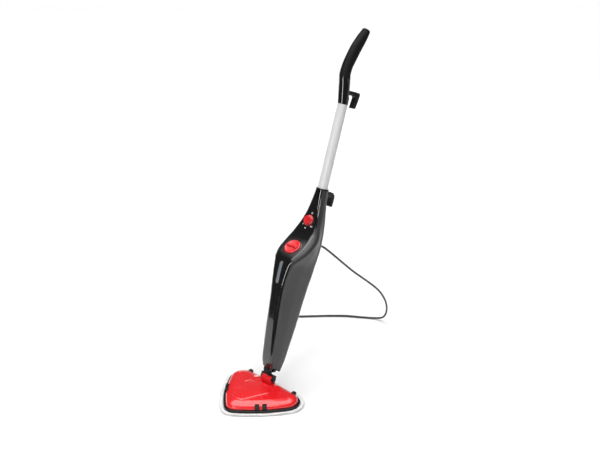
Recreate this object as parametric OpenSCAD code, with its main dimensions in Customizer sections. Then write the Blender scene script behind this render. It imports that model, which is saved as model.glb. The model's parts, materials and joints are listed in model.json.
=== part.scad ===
// Steam mop: triangular floor head, two-axis neck, steam body with tank,
// silver tube and a curved handle, with its cord led to a tied hank.
// Origin on the floor under the head, +Z up, front of the mop towards -Y.

/* [Head] */
// width of the head's base at its rear corners, mm
head_width = 285; // [240:320]
// thickness of the cleaning pad, mm
pad_thick = 4; // [3:8]
// margin of the pad outside the base, mm
pad_margin = 15; // [8:18]
// height of the black base edge, mm
base_thick = 7; // [6:12]

/* [Pole] */
// lean of the pole from upright at rest, degrees
lean = 19; // [0:30]
// outside diameter of the silver tube, mm
tube_d = 32; // [28:36]
// length of the steam body along the pole, mm
body_top = 615; // [560:660]
// where the tube meets the handle, along the pole, mm
tube_top = 889; // [850:920]
// wall of the body shells, mm
wall = 2.6; // [2:4]

/* [Controls] */
// diameter of the steam dial, mm
dial_d = 35; // [30:40]
// diameter of the tank cap, mm
cap_d = 54; // [46:60]
// length of the water level window, mm
window_len = 70; // [50:90]

/* [Cord] */
// outside diameter of the mains cord, mm
cord_d = 7; // [6:8]

/* [Hidden] */
jy = 38;
jz = 52;
off = -46;
pin_w = -4.2;
py = jy + pin_w * sin(lean);
pz = jz + pin_w * cos(lean);
swing_w = 26;
bar_r = 14;
tr = tube_d / 2;
cr = cord_d / 2;
base_z = pad_thick + 0.4;
cover_z = base_z + base_thick;
elbow_z = base_z + 17;

// ---- head outline: three corner circles, sides slightly bulged ----
hr = 46;
hx = head_width / 2 - hr;
function arc(cx, cy, r, a0, a1, n) =
  [for (i = [0:n]) let (a = a0 + (a1 - a0) * i / n) [cx + r * cos(a), cy + r * sin(a)]];
function side(a, b, bul, n) = let (d = b - a, l = norm(d), m = [d[1], -d[0]] / l)
  [for (i = [1:n - 1]) let (t = i / n) a + d * t + m * bul * 4 * t * (1 - t)];
function outline(o) = let (
    fr = 37 + o, rr = hr + o,
    a = arc(0, -104, fr, 234, 306, 8),
    b = arc(hx, 17, rr, -30, 86, 12),
    c = arc(-hx, 17, rr, 94, 210, 12))
  concat(a, side(a[8], b[0], 8, 8), b, side(b[12], c[0], 3, 8), c, side(c[12], a[0], 8, 8));
function at_z(p, z) = [for (q = p) [q[0], q[1], z]];

// ---- lofts ----
function ring_faces(k, n) = [for (j = [0:k - 2], i = [0:n - 1])
  [j * n + i, (j + 1) * n + i, (j + 1) * n + (i + 1) % n, j * n + (i + 1) % n]];
module loft(rings) {
  n = len(rings[0]);
  k = len(rings);
  polyhedron(
    points = [for (r = rings) for (p = r) p],
    faces = concat([[for (i = [0:n - 1]) i]], ring_faces(k, n),
      [[for (i = [n - 1:-1:0]) (k - 1) * n + i]]));
}

// ---- pole frame: z along the tube, y rearwards, x across ----
module pole() {
  translate([0, jy, jz]) rotate([-lean, 0, 0]) translate([0, -off, 0]) children();
}
module along_y(y0, y1, r, x = 0, w = 0, fn = 48) {
  translate([x, y0, w]) rotate([-90, 0, 0]) cylinder(r = r, h = y1 - y0, $fn = fn);
}
module along_x(x0, x1, r, y, w, fn = 48) {
  translate([x0, y, w]) rotate([0, 90, 0]) cylinder(r = r, h = x1 - x0, $fn = fn);
}
module ext_x(x0, x1, pts) {
  translate([x0, 0, 0]) rotate([90, 0, 90]) linear_extrude(x1 - x0) polygon(pts);
}

// body sections: w, front, front half width, front radius, rear, rear half width, rear radius,
// angle on the front corner where the black panel meets the side shells
body_s = [
  [33, -67, 22, 11, -12, 24, 18, 332],
  [60, -75.8, 24.5, 11.5, -7, 28, 20, 332],
  [110, -85, 24, 12, -3, 31, 22, 335],
  [180, -95.5, 23.6, 12, 2, 35, 23, 334],
  [256, -104.5, 24.5, 12, 6, 38, 24, 331],
  [320, -110.5, 29, 12, 12, 40, 24, 328],
  [345, -111.2, 32.4, 13, 15, 41, 24, 326],
  [372, -110.3, 38, 16, 18, 41, 24, 317],
  [380, -108.5, 41.4, 18, 19, 41, 24, 308],
  [390, -104.5, 47, 20, 21, 41, 24, 293],
  [400, -98, 51.5, 22, 22, 41, 24, 286],
  [410, -90, 55, 22, 23.5, 41, 24, 285],
  [422, -79, 57, 22, 25, 41, 24, 286],
  [434, -68, 57.5, 22, 26.5, 40, 24, 291],
  [446, -58, 57, 22, 28, 39, 24, 294],
  [460, -48.5, 54.5, 22, 29, 37, 24, 298],
  [480, -38, 48, 18, 30, 35, 24, 306],
  [514, -29, 35, 14, 29, 31, 24, 322],
  [550, -23.5, 26.5, 14, 25, 26, 22, 322],
  [590, -21, 22, 18, 21, 21.5, 20, 316],
  [body_top, -19.8, 19.8, 19.4, 19.8, 19.8, 19.4, 315]];
seam = 0.6;
function f_half(s, t) = arc(s[2] - s[3], s[1] + s[3], s[3] - t, 270, s[7], 6);
function mir(p) = [for (i = [len(p) - 1:-1:0]) [-p[i][0], p[i][1]]];
function rev(p) = [for (i = [len(p) - 1:-1:0]) p[i]];
function r_half(s, t, x0) = concat(arc(s[2] - s[3], s[1] + s[3], s[3] - t, s[7] + seam, 360, 6),
  [for (k = [1:5]) let (q = k / 6, a = s[1] + s[3], b = s[4] - s[6])
    [s[2] - t + (s[5] - s[2]) * q, a + (b - a) * q]],
  arc(s[5] - s[6], s[4] - s[6], s[6] - t, 0, 90, 8),
  [[x0, s[4] - t]]);
function front_ring(s) = at_z(concat(mir(f_half(s, 0)), f_half(s, 0),
  rev(f_half(s, wall)), rev(mir(f_half(s, wall)))), s[0]);
function right_ring(s) = at_z(concat(r_half(s, 0, 0.05), rev(r_half(s, wall, 0.05))), s[0]);

// a wall whose rings go out along its outer face and back along its inner face
module strip(rings) {
  n = len(rings[0]);
  k = len(rings);
  h = n / 2;
  polyhedron(
    points = [for (r = rings) for (p = r) p],
    faces = concat(ring_faces(k, n),
      [for (i = [0:h - 2]) [i, i + 1, n - 2 - i, n - 1 - i]],
      [for (i = [0:h - 2]) let (q = (k - 1) * n) [q + i, q + n - 1 - i, q + n - 2 - i, q + i + 1]]));
}
module front_strip() strip([for (s = body_s) front_ring(s)]);
module right_strip() strip([for (s = body_s) right_ring(s)]);
module front_holes() {
  cap_frame() translate([0, 0, -14]) cylinder(r = 30.2, h = 24, $fn = 64);
  window_solid(0.1);
  dial_frame() translate([0, 0, -8]) cylinder(r = 6.2, h = 16, $fn = 48);
}
module rear_holes() {
  along_y(10, 60, 6.1, 0, 433);
  for (w = [90, 230, 360]) along_y(-30, 30, 2.4, 7.6, w);
}
module cap_frame() translate([0, -73.3, 424]) rotate([47.5, 0, 0]) children();
module dial_frame() translate([0, -28.4, 514]) rotate([78, 0, 0]) children();
module window_solid(g) {
  translate([0, 0, 345]) rotate([90, 0, 0])
    linear_extrude(130) union() {
      translate([-6 - g, -window_len / 2 + 6]) square([12 + 2 * g, window_len - 12]);
      for (s = [-1, 1]) translate([0, s * (window_len / 2 - 6)]) circle(r = 6 + g, $fn = 48);
    }
}

// ================= head =================
module cleaning_pad() color([0.93, 0.93, 0.92]) {
  linear_extrude(pad_thick) polygon(outline(pad_margin));
}
module hook_strips() color([0.2, 0.2, 0.2]) translate([0, 0, pad_thick]) {
  for (s = [-1, 1]) translate([s * 88 - 20, -15, 0]) cube([40, 30, 0.4]);
  translate([-12, -125, 0]) cube([24, 40, 0.4]);
}
module base_plate() color([0.06, 0.06, 0.065]) difference() {
  translate([0, 0, base_z]) linear_extrude(base_thick) polygon(outline(0));
  translate([0, 0, base_z + 3]) linear_extrude(base_thick) polygon(outline(-7));
  translate([0, -40, 0]) cylinder(r = 8.5, h = 40, $fn = 48);
}
module base_bosses() color([0.08, 0.08, 0.085]) {
  for (p = [[-85, 20], [85, 20], [0, -100]]) translate([p[0], p[1], base_z + 3])
    difference() {
      cylinder(r = 6, h = 12, $fn = 40);
      translate([0, 0, 2]) cylinder(r = 1.6, h = 20, $fn = 24);
    }
}
module head_screws() color([0.7, 0.7, 0.72]) {
  for (p = [[-85, 20], [85, 20], [0, -100]]) translate([p[0], p[1], base_z + 5.2]) {
    cylinder(r = 1.6, h = 9.8, $fn = 24);
    translate([0, 0, 9.8]) cylinder(r = 3.2, h = 2, $fn = 32);
  }
}
cover_s = [[0, -6.5], [8, -7.5], [13, -10], [17, -16], [19.5, -24], [20.6, -32]];
module head_cover() color([0.86, 0.1, 0.13]) difference() {
  loft([for (s = cover_s) at_z(outline(s[1]), cover_z + s[0])]);
  loft([for (s = cover_s) at_z(outline(s[1] - 2.5), cover_z + s[0] - (s[0] > 10 ? 2.5 : 0.5))]);
  translate([-21, py - 14, 20]) cube([42, 28, 40]);
  clip_seats(0.15);
}
module front_dome() color([0.86, 0.1, 0.13]) translate([0, 0, cover_z + 20.6]) {
  loft([at_z(dome(0), 0), at_z(dome(-2), 2.6), at_z(dome(-6), 4.4), at_z(dome(-12), 5.4)]);
}
function dome(o) = concat(
  arc(0, -72, 33 + o, 222, 318, 12),
  arc(34, -12, 20 + o, -36, 80, 10), arc(-34, -12, 20 + o, 100, 216, 10));
module clip_seats(g) {
  for (s = [-1, 1], q = [[71.3, -80.6], [86.8, -63.6]])
    translate([s * q[0], q[1], cover_z - 0.1]) rotate([0, 0, s * 47])
      translate([-7 - g, -4 - g, 0]) cube([14 + 2 * g, 12 + 2 * g, 17 + g]);
  for (s = [-1, 1]) translate([s * 98, 52, cover_z - 0.1])
    translate([-6 - g, -5 - g, 0]) cube([12 + 2 * g, 12 + 2 * g, 17 + g]);
}
module cover_clips() color([0.05, 0.05, 0.055]) intersection() {
  clip_seats(0);
  translate([0, 0, cover_z]) linear_extrude(18) polygon(outline(-3.5));
}
module hinge_boss() color([0.88, 0.12, 0.15]) difference() {
  union() {
    along_x(-20, 20, 10, py, pz);
    translate([-20, py - 10, base_z + 3.1]) cube([40, 20, pz - base_z - 3.1]);
  }
  along_x(-30, 30, 4.05, py, pz);
  translate([0, py - 30, elbow_z]) rotate([-90, 0, 0]) cylinder(r = 3.6, h = 60, $fn = 32);
}
module tilt_pin() color([0.72, 0.72, 0.74]) along_x(-27.5, 27.5, 4, py, pz);
module steam_diffuser() color([0.75, 0.76, 0.78]) translate([0, -40, 0]) {
  difference() {
    union() {
      translate([0, 0, base_z]) cylinder(r = 8.4, h = 8, $fn = 48);
      translate([0, 0, base_z + 3.05]) cylinder(r = 14, h = 3, $fn = 48);
    }
    translate([0, 0, base_z + 1.5]) cylinder(r = 3, h = 20, $fn = 32);
    for (a = [0:60:300]) rotate([0, 0, a]) translate([5.6, 0, 0]) cylinder(r = 1, h = 30, $fn = 16);
  }
}
module head_elbow() color([0.12, 0.12, 0.12]) difference() {
  union() {
    translate([0, -40, base_z + 8.1]) cylinder(r = 6, h = elbow_z - base_z - 3.5, $fn = 40);
    translate([0, -40, elbow_z]) rotate([-90, 0, 0]) cylinder(r = 5, h = 66.2, $fn = 40);
  }
  translate([0, -40, base_z + 6]) cylinder(r = 2.8, h = elbow_z - base_z - 6, $fn = 32);
  translate([0, -40, elbow_z]) rotate([-90, 0, 0]) cylinder(r = 2.6, h = 80, $fn = 32);
}

// ================= neck =================
module neck_fork() color([0.05, 0.05, 0.055]) pole() difference() {
  union() {
    for (s = [-1, 1]) {
      x0 = s > 0 ? 20.6 : -26.6;
      along_x(x0, x0 + 6, 8.5, off, pin_w);
      translate([x0, off - 7, pin_w]) cube([6, 14, 13]);
    }
    translate([-26.6, off - 7, pin_w + 10.2]) cube([53.2, 14, 2.8]);
    translate([-7, off - 5, pin_w + 10.2]) cube([14, 10, swing_w - pin_w - 10.2]);
    along_y(off - 5, off + 5, 9, 0, swing_w);
  }
  along_x(-40, 40, 4.05, off, pin_w);
  along_y(off - 10, off + 10, 4.05, 0, swing_w);
}
module neck_washers() color([0.75, 0.75, 0.77]) pole() {
  for (s = [-1, 1]) difference() {
    along_x(s > 0 ? 20.1 : -20.5, s > 0 ? 20.5 : -20.1, 8, off, pin_w);
    along_x(-40, 40, 4.1, off, pin_w);
  }
}

// ================= pole body =================
module swing_barrel() color([0.07, 0.07, 0.075]) pole() difference() {
  union() {
    along_y(-62, -52, bar_r, 0, swing_w, 64);
    along_y(-40, -30, bar_r, 0, swing_w, 64);
    translate([-14, -62, swing_w + 10.2]) cube([28, 32, 48.8 - swing_w]);
  }
  along_y(-70, -20, 4, 0, swing_w);
}
module swing_pin() color([0.72, 0.72, 0.74]) pole() along_y(-61.5, -30.5, 4, 0, swing_w);
module chassis() color([0.15, 0.15, 0.16]) pole() difference() {
  union() {
    ext_x(-5, 5, [[-64, 59], [-16, 59], [-8, 110], [-3, 180], [1, 256], [10, 340], [15, 400],
      [15, 500], [10, 540], [-10, 540], [0, 500], [4, 400], [0, 340], [-9, 256], [-13, 180],
      [-18, 110], [-30, 72], [-64, 72]]);
    translate([0, 0, 524]) cylinder(r = 18, h = 60, $fn = 64);
    for (w = [90, 230, 360])
      translate([0, w < 100 ? -24 : (w < 300 ? -13 : 0), w - 6]) cube([11, 10, 12]);
  }
  translate([0, 0, 530]) cylinder(r = tr, h = 100, $fn = 64);
  translate([0, 0, 500]) cylinder(r = 9, h = 60, $fn = 48);
  for (w = [90, 230, 360]) along_y(-40, 20, 1.6, 7.6, w, 24);
}
module shell_screws() color([0.7, 0.7, 0.72]) pole() {
  for (q = [[90, -8], [230, 1], [360, 12]]) {
    along_y(q[1] - 11, q[1] - 1, 1.6, 7.6, q[0], 24);
    along_y(q[1] - 1, q[1] + 1, 2.35, 7.6, q[0], 32);
  }
}
module front_panel() color([0.03, 0.03, 0.035]) pole() difference() {
  front_strip();
  front_holes();
}
module rear_shell_right() color([0.22, 0.22, 0.225]) pole() difference() {
  right_strip();
  rear_holes();
}
module rear_shell_left() color([0.22, 0.22, 0.225]) pole() difference() {
  mirror([1, 0, 0]) right_strip();
  along_y(10, 60, 6.1, 0, 433);
}
module level_window() color([0.55, 0.57, 0.6]) pole() intersection() {
  window_solid(0);
  front_strip();
}
module water_tank() color([0.75, 0.8, 0.85]) pole() difference() {
  ext_x(-20, 20, [[-103, 300], [-12, 300], [-2, 350], [2, 400], [-10, 424], [-43.4, 427.7],
    [-74.4, 393.9], [-88, 381], [-101, 372], [-105, 340]]);
  ext_x(-18, 18, [[-101, 302], [-14, 302], [-4, 350], [0, 399], [-11, 421.8], [-43.9, 424.2],
    [-71.6, 394], [-86.5, 379], [-99.5, 370.2], [-103, 340]]);
  cap_frame() translate([0, 0, -40]) cylinder(r = 15, h = 60, $fn = 64);
}
module filler_ring() color([0.35, 0.36, 0.38]) pole() cap_frame() difference() {
  union() {
    translate([0, 0, -12]) cylinder(r = 20.8, h = 14, $fn = 64);
    translate([0, 0, 0.6]) cylinder(r = 29.5, h = 1.6, $fn = 64);
  }
  translate([0, 0, -30]) cylinder(r = 17, h = 60, $fn = 64);
}
module filler_neck() color([0.75, 0.8, 0.85]) pole() cap_frame() difference() {
  translate([0, 0, -19.5]) cylinder(r = 17, h = 12.5, $fn = 64);
  translate([0, 0, -40]) cylinder(r = 15, h = 60, $fn = 64);
}
module cap_plug() color([0.8, 0.8, 0.8]) pole() cap_frame() difference() {
  translate([0, 0, -5]) cylinder(r = 14, h = 7.2, $fn = 64);
  translate([0, 0, -6]) cylinder(r = 8, h = 4, $fn = 48);
  translate([0, 0, -5]) cylinder(r = 3.05, h = 20, $fn = 32);
}
module cap_seal() color([0.1, 0.1, 0.1]) pole() cap_frame() difference() {
  translate([0, 0, -4]) cylinder(r = 16.9, h = 3, $fn = 64);
  translate([0, 0, -5]) cylinder(r = 14, h = 10, $fn = 64);
}
module tank_cap() color([0.88, 0.12, 0.14]) pole() cap_frame() {
  difference() {
    union() {
      translate([0, 0, 2.6]) cylinder(r = cap_d / 2, h = 5, $fn = 72);
      translate([0, 0, 7.6]) cylinder(r = cap_d / 2 - 3, h = 1.6, $fn = 72);
      translate([-cap_d / 2 + 5, -5, 7.6]) cube([cap_d - 10, 10, 7.5]);
    }
    translate([0, 0, 0]) cylinder(r = 3.05, h = 12, $fn = 32);
  }
}
module cap_screw() color([0.72, 0.72, 0.74]) pole() cap_frame() {
  translate([0, 0, -2]) cylinder(r = 3, h = 12, $fn = 32);
  translate([0, 0, -4]) cylinder(r = 6, h = 2, $fn = 40);
}
module steam_dial() color([0.88, 0.12, 0.14]) pole() dial_frame() difference() {
  union() {
    translate([0, 0, 1.6]) cylinder(r = dial_d / 2, h = 4, $fn = 64);
    translate([0, 0, 5.6]) cylinder(r = dial_d / 2 - 3.5, h = 6, $fn = 64);
    for (a = [0:20:340]) rotate([0, 0, a])
      translate([dial_d / 2 - 4.6, -1.2, 5]) cube([3.2, 2.4, 6.2]);
  }
  translate([0, 0, 0]) cylinder(r = 3, h = 8, $fn = 32);
}
module dial_shaft() color([0.7, 0.7, 0.7]) pole() dial_frame() {
  translate([0, 0, -8]) cylinder(r = 3, h = 16, $fn = 32);
}
module steam_valve() color([0.3, 0.3, 0.32]) pole() dial_frame() difference() {
  union() {
    translate([-10, -9, -19]) cube([20, 18, 9]);
    translate([0, 0, -11]) cylinder(r = 6, h = 12, $fn = 48);
  }
  translate([0, 0, -8]) cylinder(r = 3.05, h = 30, $fn = 32);
}
module pump() color([0.82, 0.8, 0.74]) pole() {
  translate([-17, -84, 246]) cube([34, 44, 30]);
  translate([0, -62, 276]) cylinder(r = 8, h = 14, $fn = 40);
  translate([-5, -40, 252]) cube([10, 30.7, 10]);
}
module boiler() color([0.74, 0.75, 0.77]) pole() {
  translate([0, -54, 100]) cylinder(r = 20, h = 110, $fn = 64);
  translate([-5, -36, 120]) cube([10, 18.6, 10]);
  translate([-5, -36, 188]) cube([10, 23.3, 10]);
}
module heater_terminals() color([0.7, 0.62, 0.4]) pole() {
  for (s = [-1, 1]) translate([s * 9, -54, 210]) cylinder(r = 2.5, h = 12, $fn = 24);
}
module thermostat() color([0.2, 0.2, 0.2]) pole() difference() {
  translate([18, -54, 150]) rotate([0, 90, 0]) cylinder(r = 8, h = 5, $fn = 40);
  translate([0, -54, 130]) cylinder(r = 20, h = 40, $fn = 64);
}
module steam_outlet() color([0.75, 0.62, 0.3]) pole() {
  translate([0, -54, 84]) cylinder(r = 6, h = 16, $fn = 40);
}
module steam_hose() color([0.9, 0.88, 0.82]) pole() {
  translate([0, -54, 72.2]) cylinder(r = 4, h = 11.8, $fn = 32);
}
module water_hose() color([0.85, 0.88, 0.9]) pole() {
  translate([0, -62, 290]) cylinder(r = 4, h = 10, $fn = 32);
}
module feed_hose() color([0.85, 0.88, 0.9]) pole() {
  translate([0, -60, 210]) cylinder(r = 3.5, h = 36, $fn = 32);
}
module circuit_board() color([0.1, 0.35, 0.18]) pole() {
  translate([-22, -1.4, 424]) cube([44, 1.6, 62]);
}
module cord_gland() color([0.09, 0.09, 0.095]) pole() difference() {
  union() {
    along_y(19, 22.5, 8, 0, 433);
    along_y(22, 52, 6, 0, 433);
  }
  along_y(40, 60, cr + 0.02, 0, 433);
}
module lower_cord_hook() color([0.12, 0.12, 0.125]) pole() {
  ext_x(-10, 10, [[18, 604], [32, 611], [46, 610], [55, 602], [57, 590], [55, 566], [49, 564],
    [46.5, 574], [45, 590], [40, 598], [30, 598], [18, 592]]);
}
module collar_ring() color([0.1, 0.1, 0.105]) pole() translate([0, 0, body_top]) difference() {
  cylinder(r = 19.6, h = 4, $fn = 64);
  translate([0, 0, -1]) cylinder(r = tr, h = 10, $fn = 64);
}

// ================= tube and handle =================
module pole_tube() color([0.83, 0.83, 0.84]) pole() difference() {
  translate([0, 0, 530]) cylinder(r = tr, h = tube_top - 530, $fn = 72);
  translate([0, 0, 520]) cylinder(r = tr - 1.2, h = 400, $fn = 72);
}
module handle_spigot() color([0.1, 0.1, 0.1]) pole() difference() {
  union() {
    translate([0, 0, tube_top - 36]) cylinder(r = tr - 1.2, h = 36, $fn = 64);
    translate([-6, -12.5, tube_top - 4]) cube([12, 15.5, 27]);
  }
  translate([0, 0, tube_top - 50]) cylinder(r = 11, h = 44, $fn = 48);
}
// handle axis: y, w, half width, half depth, slope of the section in degrees
handle_s = [
  [0, 889, 16.5, 16.5, 0], [-2, 899, 16.8, 16.8, 8], [-7, 920, 17.2, 17.4, 13],
  [-14, 948, 17.2, 18, 10], [-19, 966, 16.8, 18.8, 2], [-22, 982, 16.4, 18.6, -8],
  [-20, 1004, 16, 18.2, -18], [-13.5, 1026, 15.6, 19.6, -24], [-1, 1060, 15.2, 20, -24],
  [16, 1096, 15, 17, -22], [27, 1118, 13.5, 13.5, -20], [31, 1126, 9, 8.5, -18]];
function hsec(s, t) = [for (i = [0:23]) let (a = i * 15, x = (s[2] - t) * cos(a),
  d = (s[3] - t) * sin(a)) [x, s[0] + d * cos(s[4]), s[1] + d * sin(s[4])]];
module handle_loft(a, b, t) loft([for (i = [a:b]) hsec(handle_s[i], t)]);
inlay_cut = [[-60, 885], [-4, 885], [-9, 915], [-13, 940], [-15, 960], [-26, 976], [-60, 976]];
module handle_solid() difference() {
  handle_loft(0, 5, 0);
  difference() {
    handle_loft(0, 5, 3);
    translate([-30, -60, 870]) cube([60, 120, 22]);
    translate([-30, -60, 976]) cube([60, 120, 30]);
    translate([-8, -8, 914]) cube([16, 40, 24]);
  }
  translate([-6.1, -12.6, tube_top - 5]) cube([12.2, 15.7, 10]);
}
module handle_shell() color([0.27, 0.27, 0.275]) pole() difference() {
  handle_solid();
  ext_x(-30, 30, inlay_cut);
  along_y(-4, 40, 3.05, 0, 926, 40);
  translate([-5.2, 8, 900.8]) cube([10.4, 20, 10.4]);
}
module handle_inlay() color([0.03, 0.03, 0.035]) pole() intersection() {
  handle_solid();
  ext_x(-30, 30, [for (p = inlay_cut) [p[0] - 0.1, p[1]]]);
}
module grip_core() color([0.12, 0.12, 0.12]) pole() handle_loft(5, 10, 3);
module grip_cover() color([0.16, 0.16, 0.165]) pole() difference() {
  handle_loft(5, 11, 0);
  loft(concat([hsec([-21, 974, 16.6, 18.6, -4], 3)], [for (i = [5:10]) hsec(handle_s[i], 3)]));
}
module release_button() color([0.1, 0.1, 0.1]) pole() {
  difference() {
    translate([-5, 8.6, 901]) cube([10, 10.4, 10]);
    along_y(0, 14, 3.8, 0, 906, 32);
  }
}
module release_spring() color([0.75, 0.75, 0.77]) pole() difference() {
  along_y(3, 11.2, 3.2, 0, 906, 32);
  along_y(2, 13, 2.4, 0, 906, 32);
}
module hook_pivot() color([0.7, 0.7, 0.72]) pole() {
  along_y(2, 24, 3, 0, 926, 32);
}
module upper_cord_hook() color([0.1, 0.1, 0.105]) pole() difference() {
  union() {
    along_y(11.4, 50, 6.8, 0, 926, 40);
    ext_x(-8, 8, [[46, 932], [58, 932], [63, 927], [61, 908], [55, 882], [42.5, 881], [45, 905],
      [47, 914], [40, 919.5], [40, 928]]);
  }
  along_y(0, 26, 3.05, 0, 926, 32);
  translate([-2.5, 36, 878]) cube([5, 40, 17]);
}

// ================= cord =================
cord_pts = [
  [0, 271.4, 430.2], [0, 290, 420], [0, 330, 385], [0, 385, 334], [0, 440, 284], [0, 500, 234],
  [0, 555, 187], [-2, 595, 145], [-8, 628, 98], [-20, 648, 52], [-42, 655, 17],
  [-76, 646, 5], [-118, 618, 4.2], [-162, 588, 4.2], [-205, 548, 4.2], [-245, 505, 4.2],
  [-284, 462, 4.2], [-304, 441.5, 4.2], [-322, 423.5, 4.2]];
function cr3(a, b, c, d, t) = 0.5 * (2 * b + (c - a) * t + (2 * a - 5 * b + 4 * c - d) * t * t
  + (3 * b - 3 * c + d - a) * t * t * t);
nseg = len(cord_pts) - 1;
function cp(i) = cord_pts[max(0, min(nseg, i))];
cord_path = concat([for (i = [0:nseg - 1], k = [0:2]) cr3(cp(i - 1), cp(i), cp(i + 1), cp(i + 2),
  k / 3)], [cp(nseg)]);
function unit(v) = v / norm(v);
np = len(cord_path);
function tan_at(i) = unit(cord_path[min(np - 1, i + 1)] - cord_path[max(0, i - 1)]);
function cord_ring(i) = let (t = i == 0 ? [0, cos(lean), -sin(lean)] : tan_at(i),
    s = unit(cross(t, [0.3, 0.2, 1])), u = cross(t, s))
  [for (k = [0:9]) cord_path[i] + cr * (cos(k * 36) * s + sin(k * 36) * u)];
module mains_cord() color([0.25, 0.25, 0.255]) loft([for (i = [0:np - 1]) cord_ring(i)]);
hank_h = 43;
module hank_frame() translate([-273, 355, -0.4]) rotate([0, 0, 135]) children();
module cord_hank() color([0.25, 0.25, 0.255]) hank_frame() difference() {
  translate([0, 0, 1]) linear_extrude(hank_h) union() {
    square([110, 64], center = true);
    for (s = [-1, 1]) translate([s * 55, 0]) circle(r = 32, $fn = 64);
  }
  linear_extrude(hank_h + 2) union() {
    square([110, 34], center = true);
    for (s = [-1, 1]) translate([s * 55, 0]) circle(r = 17, $fn = 48);
  }
}
module cord_tie() color([0.08, 0.08, 0.08]) hank_frame() difference() {
  translate([-42, -33.2, 0]) cube([14, 66.4, hank_h + 2.2]);
  translate([-43, -32, 1]) cube([16, 64, hank_h]);
}
module mains_plug() color([0.1, 0.1, 0.1]) hank_frame() translate([0, 0, hank_h + 1]) {
  translate([12, -22, 0]) cube([42, 44, 22]);
  translate([0, 0, 11]) rotate([0, 90, 0]) cylinder(r = 5, h = 12.1, $fn = 32);
  for (s = [-1, 1]) translate([53.9, s * 9.5, 11]) rotate([0, 90, 0])
    cylinder(r = 2.4, h = 19, $fn = 24);
}

cleaning_pad();
hook_strips();
base_plate();
base_bosses();
head_screws();
head_cover();
front_dome();
cover_clips();
hinge_boss();
tilt_pin();
steam_diffuser();
head_elbow();
neck_fork();
neck_washers();
swing_barrel();
swing_pin();
chassis();
shell_screws();
front_panel();
rear_shell_right();
rear_shell_left();
level_window();
water_tank();
filler_ring();
filler_neck();
cap_plug();
cap_seal();
tank_cap();
cap_screw();
steam_dial();
dial_shaft();
steam_valve();
pump();
boiler();
heater_terminals();
thermostat();
steam_outlet();
steam_hose();
water_hose();
feed_hose();
circuit_board();
cord_gland();
lower_cord_hook();
collar_ring();
pole_tube();
handle_spigot();
handle_shell();
handle_inlay();
grip_core();
grip_cover();
release_button();
release_spring();
hook_pivot();
upper_cord_hook();
mains_cord();
cord_hank();
cord_tie();
mains_plug();
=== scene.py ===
import json
import math

import bmesh
import bpy
import numpy as np
from mathutils import Matrix, Vector, noise


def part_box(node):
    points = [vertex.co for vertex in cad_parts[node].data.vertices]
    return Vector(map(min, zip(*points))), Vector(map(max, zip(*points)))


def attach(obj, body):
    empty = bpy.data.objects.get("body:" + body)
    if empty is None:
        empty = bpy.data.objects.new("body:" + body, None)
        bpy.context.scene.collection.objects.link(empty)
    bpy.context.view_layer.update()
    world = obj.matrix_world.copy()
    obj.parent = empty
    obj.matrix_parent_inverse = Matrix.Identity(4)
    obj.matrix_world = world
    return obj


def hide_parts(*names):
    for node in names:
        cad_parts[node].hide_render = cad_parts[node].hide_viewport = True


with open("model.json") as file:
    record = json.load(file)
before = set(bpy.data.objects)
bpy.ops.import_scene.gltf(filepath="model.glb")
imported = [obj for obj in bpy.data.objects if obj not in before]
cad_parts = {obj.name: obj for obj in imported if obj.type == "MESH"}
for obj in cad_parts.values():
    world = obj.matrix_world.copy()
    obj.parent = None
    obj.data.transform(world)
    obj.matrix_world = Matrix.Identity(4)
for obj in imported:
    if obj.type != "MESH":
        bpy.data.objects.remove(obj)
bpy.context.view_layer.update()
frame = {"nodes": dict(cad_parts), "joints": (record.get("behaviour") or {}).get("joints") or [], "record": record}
nodes = frame["nodes"]
S = bpy.context.scene
S.view_settings.view_transform = "Standard"
MM = 0.001
rng = np.random.default_rng(7)

# the pole frame: z along the tube, y rearwards, x across, in millimetres
joints = {j["name"]: j for j in frame["joints"]}
swing_axis = joints["neck_swing"]["axis"]
LEAN = math.atan2(-swing_axis[2], swing_axis[1])
PIN = (Vector(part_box("tilt_pin")[0]) + Vector(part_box("tilt_pin")[1])) / 2
PIN_LOCAL = Vector((0, -46, -4.2))
POLE = (Matrix.Translation(PIN) @ Matrix.Rotation(-LEAN, 4, "X") @ Matrix.Scale(MM, 4)
        @ Matrix.Translation(-PIN_LOCAL))
WORLD = Matrix.Scale(MM, 4)


# ================================================================ small tools
def unit_arc(cx, cy, r, a0, a1, n):
    """Points on a circle from a0 to a1 degrees."""
    return [(cx + r * math.cos(math.radians(a0 + (a1 - a0) * i / n)),
             cy + r * math.sin(math.radians(a0 + (a1 - a0) * i / n))) for i in range(n + 1)]


def spline(rows, x):
    """Smooth value of every column of rows at x, rows being sorted by their first column."""
    xs = [r[0] for r in rows]
    i = max(0, min(len(xs) - 2, next((k for k in range(len(xs) - 1) if x < xs[k + 1]), len(xs) - 2)))
    h = xs[i + 1] - xs[i]
    t = (x - xs[i]) / h
    out = []
    for c in range(len(rows[0])):
        def slope(k):
            """The rise at row k, level at a turning point, so that nothing overshoots."""
            lo, hi = max(0, k - 1), min(len(xs) - 1, k + 1)
            if lo == k or hi == k:
                return (rows[hi][c] - rows[lo][c]) / (xs[hi] - xs[lo])
            a = (rows[k][c] - rows[lo][c]) / (xs[k] - xs[lo])
            b = (rows[hi][c] - rows[k][c]) / (xs[hi] - xs[k])
            return 0.0 if a * b <= 0 else 2 * a * b / (a + b)
        m0, m1 = slope(i) * h, slope(i + 1) * h
        p0, p1 = rows[i][c], rows[i + 1][c]
        out.append((2 * t**3 - 3 * t**2 + 1) * p0 + (t**3 - 2 * t**2 + t) * m0
                   + (3 * t**2 - 2 * t**3) * p1 + (t**3 - t**2) * m1)
    return out


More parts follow.
